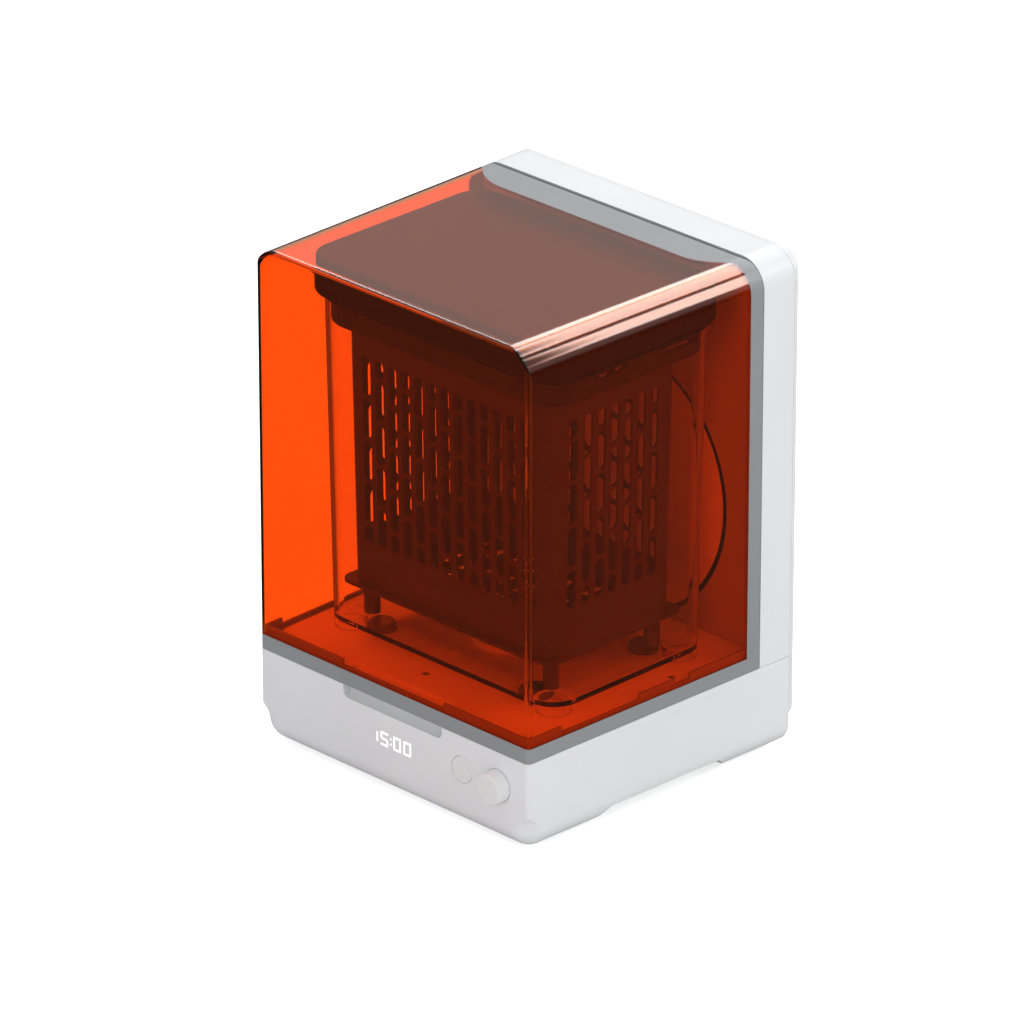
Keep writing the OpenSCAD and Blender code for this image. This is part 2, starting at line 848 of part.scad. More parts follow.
module knob_shaft() {
  color("silver") in_frame()
  rod_y(knob_x, control_z, knob_shaft_r, front - 5, board_y - 1.6);
}

module control_knob() {
  color("white") in_frame()
  difference() {
    translate([knob_x, front - knob_out, control_z])
      rotate([-90, 0, 0])
        rotate_extrude()
          rounded([[0, 0], [knob_d / 2 - 0.4, 0], [knob_d / 2, knob_out + 0.4], [0, knob_out + 0.4]],
            [0, 1.4, 0.2, 0]);
    rod_y(knob_x, control_z, knob_shaft_r, front - 5, front + 2);
  }
}

button_travel = 1.2;

module push_button() {
  color("white") in_frame()
  difference() {
    union() {
      translate([button_x, front - 0.3, control_z])
        rotate([-90, 0, 0])
          rotate_extrude()
            rounded([[0, 0], [button_d / 2, 0], [button_d / 2, 5.4], [0, 5.4]], [0, 0.6, 0.2, 0]);
      rod_y(button_x, control_z, button_d / 2 + 1.2, front + wall + 0.3, front + 5.1);
      rod_y(button_x, control_z, 2, front + 5, board_y - 4.2 - button_travel);
    }
    // Dot and bar marks, sunk into the face
    rod_y(button_x, control_z + 5.2, 1.1, front - 1, front - 0.1);
    block(button_x - 1.2, button_x + 1.2, front - 1, front - 0.1, control_z - 6.4, control_z - 5.6);
  }
}

module button_switch() {
  color("dimgray") in_frame()
  union() {
    block(button_x - 3, button_x + 3, board_y - 3, board_y, control_z - 3, control_z + 3);
    rod_y(button_x, control_z, 1.6, board_y - 4.0, board_y - 2.9);
  }
}

module hood_sensor() {
  color("dimgray") in_frame()
  block(-118, -104, front + 12, front + 16, deck_z - panel_t - 3, deck_z - panel_t);
}

module sensor_magnet() {
  color("silver") in_frame()
  block(-116, -106, front + 3, front + 5.4, band_top - 8, band_top - 2.4);
}

// Power entry and supply

module power_inlet() {
  color("black") in_frame()
  difference() {
    union() {
      along_y(rear - 24, rear) translate([inlet_x, plug_z]) rounded_rect(28, 20, 2.8);
      along_y(rear - wall - 2, rear - wall) translate([inlet_x, plug_z]) rounded_rect(33, 25, 3);
    }
    along_y(rear - 17, rear + 1) translate([inlet_x, plug_z]) rounded_rect(24, 16, 1.5);
  }
}

module inlet_pins() {
  color("silver") in_frame()
  for (p = [[-7, -2], [0, 2], [7, -2]])
    block(inlet_x + p[0] - 1, inlet_x + p[0] + 1, rear - 17, rear - 5, plug_z + p[1] - 2, plug_z + p[1] + 2);
}

rocker_y = rear - 7;

module switch_frame() {
  color("black") in_frame()
  difference() {
    along_y(rear - 18, rear) translate([switch_x, plug_z]) rounded_rect(13, 19, 0.6);
    along_y(rear - 14, rear + 2) translate([switch_x, plug_z]) rounded_rect(10.4, 16.4, 0.4);
    rod_x(rocker_y, plug_z, 1.05, switch_x - 6, switch_x + 6);
  }
}

module power_rocker() {
  tilt = 9;
  color("dimgray") in_frame()
  union() {
    intersection() {
      rod_x(rocker_y, plug_z, 7.6, switch_x - 4.8, switch_x + 4.8);
      translate([switch_x, rocker_y, plug_z])
        rotate([tilt, 0, 0])
          translate([-6, 0, -12])
            cube([12, 6, 24]);
    }
    rod_x(rocker_y, plug_z, 2.4, switch_x - 4.8, switch_x + 4.8);
    rod_x(rocker_y, plug_z, 1, switch_x - 5.8, switch_x + 5.8);
  }
}

module power_supply() {
  top = supply_z + 2;
  color("lightsteelblue") in_frame()
  difference() {
    union() {
      block(24, 116, 34, 106, supply_z, top);
      block(36, 74, 46, 94, top - eps, top + 22);
      for (y = [50, 72])
        rod_z(90, y, 7, top - eps, top + 24);
      block(82, 104, 84, 96, top - eps, top + 16);
    }
    for (p = supply_screw_at)
      rod_z(p[0], p[1], 1.6, supply_z - 1, top + 1);
  }
}

module board_screws() {
  color("dimgray") in_frame() {
    for (p = supply_screw_at) {
      rod_z(p[0], p[1], 1.25, supply_z - 5, supply_z + 2.1);
      rod_z(p[0], p[1], 2.6, supply_z + 2, supply_z + 3.6);
    }
    for (p = board_screw_at) {
      rod_y(p[0], p[1], 1.25, board_y - 7, board_y + 1.7);
      rod_y(p[0], p[1], 2.6, board_y + 1.6, board_y + 3.2);
    }
  }
}

// Hood

// Each bracket hangs below its pin and reaches through a slot into the column, out of the hood's way
module hinge_brackets() {
  color("silver") in_frame()
  difference() {
    for (x = hinge_xs) {
      rod_x(hinge_y, hinge_z, ring_r, x - hinge_half, x + hinge_half);
      block(x - hinge_half, x + hinge_half, hinge_y - ring_r, hinge_y + 1.7, foot_z0, hinge_z);
      block(x - hinge_half, x + hinge_half, hinge_y - ring_r, hinge_plate_y, foot_z0, foot_z1);
      block(x - hinge_half, x + hinge_half, column_y + wall, hinge_plate_y, hinge_z - 28, hinge_z - 6);
    }
    rod_x(hinge_y, hinge_z, hinge_pin_r + hinge_fit, -reach, reach);
    for (p = hinge_screw_at)
      rod_y(p[0], p[1], 1.6, column_y, hinge_plate_y + 1);
  }
}

module hinge_screws() {
  color("dimgray") in_frame()
  for (p = hinge_screw_at) {
    rod_y(p[0], p[1], 1.25, column_y + 0.8, hinge_plate_y + 0.1);
    rod_y(p[0], p[1], 2.6, hinge_plate_y, hinge_plate_y + 1.6);
  }
}

module hinge_pins() {
  color("gray") in_frame()
  for (x = hinge_xs)
    rod_x(hinge_y, hinge_z, hinge_pin_r, x - hinge_half - 8, x + hinge_half + 8);
}

// The amber part in plan: the grey frame's front edge runs forward in the middle of the top
swoop_x0 = 90;
swoop_x1 = 126;

module amber_plan() {
  steps = 10;
  side_y = front + frame_side_y;
  mid_y = front + frame_top_y;
  right_curve = [for (i = [steps : -1 : 0])
    [swoop_x0 + (swoop_x1 - swoop_x0) * i / steps, mid_y + (side_y - mid_y) * pow(i / steps, 2)]];
  left_curve = [for (i = [0 : steps])
    [-swoop_x0 - (swoop_x1 - swoop_x0) * i / steps, mid_y + (side_y - mid_y) * pow(i / steps, 2)]];
  polygon(concat([[-reach, front - 10], [reach, front - 10], [reach, side_y]], right_curve, left_curve,
    [[-reach, side_y]]));
}

module hood_shell() {
  color([1, 0.35, 0.05, 0.55]) in_frame()
  intersection() {
    difference() {
      slice(0, front - 1, hood_y, band_top, height + 1);
      slice(wall, front, rear, 0, height);
    }
    along_z(band_top - 1, height + 1) amber_plan();
  }
}

// Clip ribs behind the amber: tall along these stretches, low elsewhere
lip_tall = 7;
lip_low = 2.6;

module lip_ring(h) {
  difference() {
    slice(wall + 0.2, front, hood_y, band_top - eps, band_top + h);
    slice(wall + 2, front, rear, 0, band_top + h + 1);
  }
}

module hood_frame() {
  color("slategray") in_frame()
  difference() {
    union() {
      difference() {
        slice(0, front - 1, hood_y, base_top + seam / 2, band_top);
        slice(7.6, front, rear, 0, band_top + 1, deck_corner);
        // Hollow underside, left solid over the finger recess
        difference() {
          slice(2.6, front, rear, 0, band_top - 2.4);
          slice(5.6, front, rear, 0, band_top);
          block(-recess_w / 2 - 3, recess_w / 2 + 3, front - 1, front + 12, 0, band_top);
        }
      }
      lip_ring(lip_low);
      intersection() {
        lip_ring(lip_tall);
        union() {
          block(-reach, -52, front, front + 20, 0, 100);
          block(50, reach, front, front + 34, 0, 100);
          for (side = [-1, 1])
            scale([side, 1, 1]) {
              block(100, reach, -22, 13, 0, 100);
              block(100, reach, 28, 85, 0, 100);
            }
        }
      }
      // Side strips and top strip
      difference() {
        slice(0, front + frame_top_y - 1, hood_y, band_top - eps, height + 1);
        slice(wall, front, rear, 0, height);
        along_z(band_top - 1, height + 1) amber_plan();
      }
      // Inner flange behind the amber's side edges
      difference() {
        slice(wall - eps, front + frame_side_y, hood_y, band_top - eps, height - top_r - 4);
        slice(wall + 2, front, rear, 0, height);
      }
      // Hinge bar under the top strip
      block(-112, 112, hinge_y - 6.5, hinge_y, hinge_z - hinge_r, height - 1);
      rod_x(hinge_y, hinge_z, hinge_r, -112, 112);
    }
    // The rear top edge turns about the hinge line
    difference() {
      block(-reach, reach, hinge_y, hinge_y + 20, hinge_z, hinge_z + 20);
      rod_x(hinge_y, hinge_z, hinge_r, -reach, reach);
    }
    // Room for the brackets under the skin, which stays whole over them
    for (x = hinge_xs) {
      block(x - hinge_half - 0.4, x + hinge_half + 0.4, hinge_y - 5.2, hinge_y + 10,
        hinge_z - 10, hinge_z + 2.25);
      rod_x(hinge_y, hinge_z, ring_r + seam, x - hinge_half - 0.4, x + hinge_half + 0.4);
      rod_x(hinge_y, hinge_z, hinge_pin_r, x - hinge_half - 8, x + hinge_half + 8);
    }
    for (x = [-latch_x, latch_x])
      block(x - 8, x + 8, front + 7.0, front + 8, base_top + 1, base_top + 9);
  }
}

module hood_bumpers() {
  color("dimgray") in_frame()
  for (x = [-92, 92])
    block(x - 8, x + 8, front + 5.2, front + 8, base_top - 1.2, base_top + seam / 2 - 0.06);
}

module latch_magnets() {
  color("silver") in_frame()
  for (x = [-latch_x, latch_x])
    block(x - 7.5, x + 7.5, front + 10.8, front + 13.3, base_top + 1.2, base_top + 8);
}

module latch_plates() {
  color("gray") in_frame()
  for (x = [-latch_x, latch_x])
    block(x - 7.5, x + 7.5, front + 7.05, front + 7.55, base_top + 1.5, base_top + 8.5);
}

// Wash tank

tank_y = -9.5;
tank_z0 = deck_z + tank_foot_h;
rim_z = 341.4;
tank_wall = 3;

module tank() {
  color([1, 0.6, 0.4, 0.4]) in_frame()
  difference() {
    union() {
      translate([0, tank_y, 0]) drafted(tank_w, tank_d, tank_r, tank_z0, rim_z, tank_draft);
      for (sx = [-1, 1])
        for (sy = [-1, 1])
          rod_z(sx * (tank_w / 2 - 16), tank_y + sy * (tank_d / 2 - 16), 13.5, deck_z, tank_z0 + 1);
    }
    translate([0, tank_y, 0])
      drafted(tank_w - 2 * tank_wall, tank_d - 2 * tank_wall, tank_r - tank_wall,
        tank_z0 + tank_wall, rim_z + tank_wall, tank_draft);
    for (sx = [-1, 1])
      for (sy = [-1, 1])
        rod_z(sx * (tank_w / 2 - 16), tank_y + sy * (tank_d / 2 - 16), 10.5, deck_z - 1, tank_z0 - 1);
  }
}

floor_top = tank_z0 + tank_wall;

module impeller_pin() {
  color("silver") in_frame()
  union() {
    rod_z(0, drive_y, 8, floor_top, floor_top + 1.6);
    rod_z(0, drive_y, 3, floor_top, floor_top + 15);
    rod_z(0, drive_y, 5, floor_top + 13.6, floor_top + 15.6);
  }
}

module impeller() {
  vanes = 6;
  z0 = floor_top + 2;
  color("dimgray") in_frame()
  difference() {
    union() {
      rod_z(0, drive_y, 20, z0, z0 + 7);
      rod_z(0, drive_y, 6, z0, z0 + 11.2);
      for (i = [0 : vanes - 1])
        translate([0, drive_y, z0])
          rotate([0, 0, 360 * i / vanes])
            translate([5, -1.25, 0])
              cube([27, 2.5, 10.5]);
    }
    rod_z(0, drive_y, 3.05, z0 - 1, z0 + 12);
    for (a = [30 : 120 : 270])
      rod_z(11 * cos(a), drive_y + 11 * sin(a), 4, z0 - 1, z0 + 4);
  }
}

module impeller_magnets() {
  z0 = floor_top + 2;
  color("silver") in_frame()
  for (a = [30 : 120 : 270])
    rod_z(11 * cos(a), drive_y + 11 * sin(a), 4, z0 + 0.1, z0 + 4);
}

// Lid: a hollow cap with a plug that sits inside the tank's rim

lid_y = -10;
lid_w = 247;
lid_d = 175;
lid_top = 372;
lid_z0 = rim_z + 1.8;
plug_z0 = 321;
plug_w = tank_w + 2 * tank_draft - 2 * tank_wall - 2.4;
plug_d = tank_d + 2 * tank_draft - 2 * tank_wall - 2.4;
plug_r = plug_w / 2 - (tank_w / 2 - tank_r);

module tank_lid() {
  color("saddlebrown") in_frame()
  difference() {
    union() {
      translate([0, lid_y, 0]) soft_plate(lid_w, lid_d, 22, lid_z0, lid_top, 6, 2.5);
      translate([0, tank_y, 0]) soft_plate(plug_w, plug_d, plug_r, plug_z0, lid_z0 + 1, 7, 0);
    }
    translate([0, tank_y, 0])
      along_z(plug_z0 - 1, lid_top - wall) rounded_rect(plug_w - 6, plug_d - 6, plug_r - 3);
    for (side = [-1, 1])
      for (y = [-35, 36.5])
        along_x(side * plug_w / 2 - 5, side * plug_w / 2 + 5)
          translate([y, plug_z0 + 15.5]) rounded_rect(33, 4.2, 2);
    for (x = [-82, 82])
      difference() {
        rod_y(x, plug_z0 + 15, 8, tank_y - plug_d / 2 - 1, tank_y - plug_d / 2 + 1.2);
        rod_y(x, plug_z0 + 15, 6.2, tank_y - plug_d / 2 - 2, tank_y - plug_d / 2 + 2);
        block(x - 9, x + 9, tank_y - plug_d / 2 - 2, tank_y - plug_d / 2 + 2, plug_z0 + 18, plug_z0 + 24);
      }
  }
}

module lid_seal() {
  color("black") in_frame()
  translate([0, tank_y, 0])
    along_z(rim_z, lid_z0)
      difference() {
        rounded_rect(tank_w + 2 * tank_draft - 0.6, tank_d + 2 * tank_draft - 0.6, tank_r + tank_draft - 0.3);
        rounded_rect(plug_w + 0.4, plug_d + 0.4, plug_r + 0.2);
      }
}

// Basket with staggered upright slots, standing on a plate with four legs

basket_y = -13;
basket_w = 194;
basket_d = 121.2;
basket_r = 9;
basket_draft = 3.3;
basket_z0 = 123;
basket_top = 318;
basket_wall = 2.4;
plate_w = 208;
plate_d = 134;
plate_z0 = basket_z0 - 2.4;
slots_z0 = 156;
slots_z1 = 301.6;
slot_period = slot_l + 2.9;
front_columns = 6;
side_columns = 3;

// One slot clipped to the slotted zone, cut through both walls that face X
module slot_cut(z_top, length) {
  z1 = min(z_top, slots_z1);
  z0 = max(z_top - slot_l, slots_z0);
  if (z1 - z0 > slot_w)
    translate([0, 0, (z0 + z1) / 2])
      along_x(-length, length)
        rounded_rect(slot_w, z1 - z0, slot_w / 2 - 0.1);
}

// A column of slots; every other column sits half a slot lower
module slot_column(k, length) {
  for (j = [0 : slot_rows - 1])
    slot_cut(slots_z1 - j * slot_period + (k % 2 == 0 ? 0 : slot_period / 2), length);
}

slot_rows = ceil((slots_z1 - slots_z0) / slot_period) + 1;

module basket() {
  color("sienna") in_frame()
  difference() {
    translate([0, basket_y, 0])
      drafted(basket_w, basket_d, basket_r, basket_z0, basket_top, basket_draft);
    translate([0, basket_y, 0])
      drafted(basket_w - 2 * basket_wall, basket_d - 2 * basket_wall, basket_r - basket_wall,
        basket_z0 - 0.1, basket_top + 0.1, basket_draft);
    for (k = [-front_columns : front_columns])
      translate([k * slot_pitch, basket_y, 0])
        rotate([0, 0, 90])
          slot_column(abs(k), basket_d);
    for (k = [-side_columns : side_columns])
      translate([0, basket_y + k * slot_pitch, 0])
        slot_column(abs(k), basket_w);
  }
}

module basket_base() {
  color("saddlebrown") in_frame()
  difference() {
    translate([0, basket_y, 0]) along_z(plate_z0, basket_z0) rounded_rect(plate_w, plate_d, 9);
    for (x = [-72 : 18 : 72])
      for (y = [-42 : 28 : 42])
        translate([x, basket_y + y, basket_z0 - 3])
          linear_extrude(4)
            rounded_rect(8.6, 21, 4.2);
  }
}

module basket_legs() {
  color("saddlebrown") in_frame()
  for (x = [-88, 88])
    for (y = [-50, 50])
      rod_z(x, basket_y + y, 6, floor_top, plate_z0);
}

base_tub();
rubber_feet();
deck_plate();
deck_screws();
tank_pads();
column_shell();
rear_panel();
rear_panel_screws();
light_window();
window_gasket();
led_board();
uv_leds();
heat_sink();
heat_sink_screws();
fan_frame();
fan_rotor();
fan_screws();
board_screws();
drive_motor();
motor_rotor();
motor_bracket();
motor_screws();
motor_shaft();
magnet_holder();
drive_magnets();
control_board();
display_module();
display_digits();
knob_encoder();
knob_shaft();
control_knob();
push_button();
button_switch();
hood_sensor();
sensor_magnet();
power_inlet();
inlet_pins();
switch_frame();
power_rocker();
power_supply();
hinge_brackets();
hinge_screws();
hinge_pins();
hood_shell();
hood_frame();
hood_bumpers();
latch_magnets();
latch_plates();
tank();
impeller_pin();
impeller();
impeller_magnets();
tank_lid();
lid_seal();
basket();
basket_base();
basket_legs();
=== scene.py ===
import math

import bpy
from mathutils import Matrix, Vector

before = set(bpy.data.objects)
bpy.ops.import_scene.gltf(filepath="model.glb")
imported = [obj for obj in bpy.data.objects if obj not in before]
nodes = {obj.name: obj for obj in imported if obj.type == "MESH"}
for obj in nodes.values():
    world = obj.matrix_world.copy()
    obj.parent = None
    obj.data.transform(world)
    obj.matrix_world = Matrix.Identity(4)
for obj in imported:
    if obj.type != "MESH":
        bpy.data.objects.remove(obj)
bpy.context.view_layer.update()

# Camera, fitted to the straight edges of the photograph
CAMERA_AT = Vector((4.0102, -4.00555, 2.7753))
CAMERA_AZIMUTH = math.radians(45.085)
CAMERA_ELEVATION = math.radians(24.583)
CAMERA_LENS_MM = 308.36
SENSOR_MM = 36.0

# The hood's see-through amber. To the eye a wall lets AMBER_TINT through. AMBER_SHADE colours the
# light that reaches the inside. Its red is above 1: it was raised to bring the deck near its
# brightness in the photograph, as plain filtering left it too dark.
AMBER_TINT = (1.0, 0.25, 0.035, 1.0)
AMBER_SHADE = (1.15, 0.21, 0.02, 1.0)
TANK_TINT = (0.985, 0.975, 0.97, 1.0)

# The column's front wall is painted darker than the housing, as painted shade for the dim inside of
# the hood, to bring it near its look through the amber
COLUMN_WALL_PAINTED_SHADE = 0.55
SKIN = 0.00025

# Floor and surround. What is seen straight or through clear walls is white. What a surface mirrors is
# dark below the horizon and pale above it, since the photographed hood mirrors no white floor.
# PLAIN_LIGHT is the even light on the object.
FLOOR_HALF = 6.0
FLOOR_GLOW = 0.6
MIRRORED_FLOOR = 0.06
MIRRORED_SKY = 0.75
HORIZON = (-0.02, 0.12)
INSIDE_GLOW = 0.22
PLAIN_LIGHT = 0.49


def set_camera():
    """Places the camera where the photograph was taken from."""
    back = Vector((
        math.sin(CAMERA_AZIMUTH) * math.cos(CAMERA_ELEVATION),
        -math.cos(CAMERA_AZIMUTH) * math.cos(CAMERA_ELEVATION),
        math.sin(CAMERA_ELEVATION),
    ))
    data = bpy.data.cameras.new("photo_camera")
    data.sensor_width = SENSOR_MM
    data.sensor_fit = "HORIZONTAL"
    data.lens = CAMERA_LENS_MM
    data.clip_start = 0.1
    data.clip_end = 60.0
    camera = bpy.data.objects.new("photo_camera", data)
    camera.location = CAMERA_AT
    camera.rotation_euler = back.to_track_quat("Z", "Y").to_euler()
    bpy.context.scene.collection.objects.link(camera)
    bpy.context.scene.camera = camera


# Shader helpers

def linear(r, g, b):
    """Turns display values from 0 to 255 into the linear colour Blender expects."""
    out = []
    for value in (r, g, b):
        v = value / 255.0
        out.append(v / 12.92 if v <= 0.04045 else ((v + 0.055) / 1.055) ** 2.4)
    return (out[0], out[1], out[2], 1.0)


def scaled(colour, k):
    """A colour k times as bright, and never above white."""
    return (min(colour[0] * k, 1.0), min(colour[1] * k, 1.0), min(colour[2] * k, 1.0), 1.0)


def maths(tree, operation, one, two):
    """A Math node whose inputs are numbers or sockets."""
    n = tree.nodes.new("ShaderNodeMath")
    n.operation = operation
    for socket, value in zip(n.inputs, (one, two)):
        if isinstance(value, float):
            socket.default_value = value
        else:
            tree.links.new(value, socket)
    return n.outputs[0]


def between(tree, factor, one, two):
    """A number Mix node, one where the factor is 0 and two where it is 1."""
    n = tree.nodes.new("ShaderNodeMix")
    n.data_type = "FLOAT"
    tree.links.new(factor, n.inputs["Factor"])
    for socket, value in zip((n.inputs["A"], n.inputs["B"]), (one, two)):
        if isinstance(value, float):
            socket.default_value = value
        else:
            tree.links.new(value, socket)
    return n.outputs["Result"]


def mixed(tree, factor, one, two):
    """A colour Mix node; one is a socket and two a plain colour."""
    n = tree.nodes.new("ShaderNodeMix")
    n.data_type = "RGBA"
    tree.links.new(factor, n.inputs["Factor"])
    colour_a, colour_b = [i for i in n.inputs if i.type == "RGBA"]
    tree.links.new(one, colour_a)
    colour_b.default_value = two
    return next(o for o in n.outputs if o.type == "RGBA")


class Tree:
    """A material with its node tree and short calls to build it."""

    def __init__(self, name):
        self.material = bpy.data.materials.new(name)
        self.material.use_nodes = True
        self.tree = self.material.node_tree
        self.tree.nodes.clear()
        self.out = self.tree.nodes.new("ShaderNodeOutputMaterial")
        self.coords = self.tree.nodes.new("ShaderNodeTexCoord")

    def link(self, a, b):
        self.tree.links.new(a, b)

    def noise(self, scale, detail=2.0, rough=0.5, stretch=None):
        """Noise fixed to the object, finer as scale grows."""
        n = self.tree.nodes.new("ShaderNodeTexNoise")
        n.inputs["Scale"].default_value = scale
        n.inputs["Detail"].default_value = detail
        n.inputs["Roughness"].default_value = rough
        if stretch:
            m = self.tree.nodes.new("ShaderNodeMapping")
            m.inputs["Scale"].default_value = stretch
            self.link(self.coords.outputs["Object"], m.inputs["Vector"])
            self.link(m.outputs["Vector"], n.inputs["Vector"])
        else:
            self.link(self.coords.outputs["Object"], n.inputs["Vector"])
        return n.outputs["Fac"]

    def ramp(self, fac, low, high, a=0.3, b=0.7):
        """Colours from low to high as the factor goes from a to b."""
        r = self.tree.nodes.new("ShaderNodeValToRGB")
        r.color_ramp.elements[0].position = a
        r.color_ramp.elements[0].color = low
        r.color_ramp.elements[1].position = b
        r.color_ramp.elements[1].color = high
        self.link(fac, r.inputs["Fac"])
        return r.outputs["Color"]

    def spread(self, fac, low, high):
        """The factor stretched to run from low to high."""
        m = self.tree.nodes.new("ShaderNodeMapRange")
        m.inputs["To Min"].default_value = low
        m.inputs["To Max"].default_value = high
        self.link(fac, m.inputs["Value"])
        return m.outputs["Result"]

    def bump(self, height, strength, distance, below=None):
        """Relief of the given depth in metres, on top of another where below is given."""
        b = self.tree.nodes.new("ShaderNodeBump")
        b.inputs["Strength"].default_value = strength
        b.inputs["Distance"].default_value = distance
        self.link(height, b.inputs["Height"])
        if below is not None:
            self.link(below, b.inputs["Normal"])
        return b.outputs["Normal"]

    def shader(self, **values):
        """A Principled shader with plain values on its sockets."""
        p = self.tree.nodes.new("ShaderNodeBsdfPrincipled")
        for key, value in values.items():
            p.inputs[key.replace("_", " ")].default_value = value
        return p


def moulded(name, colour, rough, grain=1500.0, level=0.5, front=None):
    """Moulded plastic: fine eroded texture, faint flow marks and slight colour variation.

    front is a plane in Y, in metres, and how bright the plastic is in front of it, as painted shade.
    """
    vary = 0.03
    t = Tree(name)
    cloud = t.noise(9.0, 3.0)
    fine = t.noise(grain, 2.0, 0.6)
    flow = t.noise(35.0, 2.0, 0.5, (1.0, 1.0, 0.25))
    p = t.shader(Specular_IOR_Level=level)
    base = t.ramp(cloud, scaled(colour, 1.0 - vary), scaled(colour, 1.0 + vary * 0.5))
    # Painted shade: the plastic in front of the plane is darkened by the given share
    if front:
        plane, share = front
        split = t.tree.nodes.new("ShaderNodeSeparateXYZ")
        t.link(t.coords.outputs["Object"], split.inputs["Vector"])
        painted_shade_zone = maths(t.tree, "LESS_THAN", split.outputs["Y"], plane)
        base = mixed(t.tree, painted_shade_zone, base, scaled(colour, share))
    t.link(base, p.inputs["Base Color"])
    t.link(t.spread(flow, rough - 0.05, rough + 0.05), p.inputs["Roughness"])
    low = t.bump(flow, 0.05, 0.0002)
    t.link(t.bump(fine, 0.35, 0.00003, low), p.inputs["Normal"])
    t.link(p.outputs["BSDF"], t.out.inputs["Surface"])
    return t.material


def brushed(name, colour, rough, along=(1.0, 1.0, 40.0)):
    """Metal with fine drawn lines and light handling marks."""
    t = Tree(name)
    lines = t.noise(160.0, 3.0, 0.6, along)
    marks = t.noise(60.0, 4.0, 0.7)
    p = t.shader(Metallic=1.0)
    t.link(t.ramp(marks, scaled(colour, 0.9), scaled(colour, 1.05)), p.inputs["Base Color"])
    t.link(t.spread(lines, rough - 0.08, rough + 0.1), p.inputs["Roughness"])
    t.link(t.bump(lines, 0.12, 0.00005), p.inputs["Normal"])
    t.link(p.outputs["BSDF"], t.out.inputs["Surface"])
    return t.material


def clear(name, tint, shade, haze=0.0, wavy=0.0):
    """See-through plastic: real refraction to the eye, and coloured light for what is inside.

    tint is what a wall, with its two faces, lets through to the eye, and shade what it lets through
    to light the inside. haze is the roughness that its smears reach, and wavy how uneven it is.
    """
    acrylic_ior = 1.49
    t = Tree(name)
    wave = t.noise(14.0, 2.0)
    smear = t.noise(45.0, 3.0, 0.6)
    p = t.shader(IOR=acrylic_ior, Transmission_Weight=1.0, Specular_IOR_Level=0.5)
    t.link(t.ramp(smear, scaled(tint, 0.985), tint), p.inputs["Base Color"])
    t.link(t.spread(smear, 0.0, haze), p.inputs["Roughness"])
    t.link(t.bump(wave, wavy, 0.0002), p.inputs["Normal"])
    through = t.tree.nodes.new("ShaderNodeBsdfTransparent")
    through.inputs["Color"].default_value = tuple(math.sqrt(v) for v in shade)
    path = t.tree.nodes.new("ShaderNodeLightPath")
    either = maths(t.tree, "MAXIMUM", path.outputs["Is Shadow Ray"], path.outputs["Is Diffuse Ray"])
    mix = t.tree.nodes.new("ShaderNodeMixShader")
    t.link(either, mix.inputs["Fac"])
    t.link(p.outputs["BSDF"], mix.inputs[1])
    t.link(through.outputs["BSDF"], mix.inputs[2])
    t.link(mix.outputs["Shader"], t.out.inputs["Surface"])
    return t.material


def lit(name, colour, strength):
    """A digit lit from behind, with a slight unevenness."""
    t = Tree(name)
    fine = t.noise(900.0, 2.0)
    p = t.shader(Roughness=0.4)
    t.link(t.ramp(fine, scaled(colour, 0.97), colour), p.inputs["Base Color"])
    t.link(t.ramp(fine, scaled(colour, 0.95), colour), p.inputs["Emission Color"])
    p.inputs["Emission Strength"].default_value = strength
    t.link(p.outputs["BSDF"], t.out.inputs["Surface"])
    return t.material


def dress(names, material):
    """Gives CAD nodes a better material in their own slots."""
    for name in names:
        obj = nodes[name]
        for i in range(max(len(obj.material_slots), 1)):
            if i < len(obj.material_slots):
                obj.material_slots[i].material = material
            else:
                obj.data.materials.append(material)


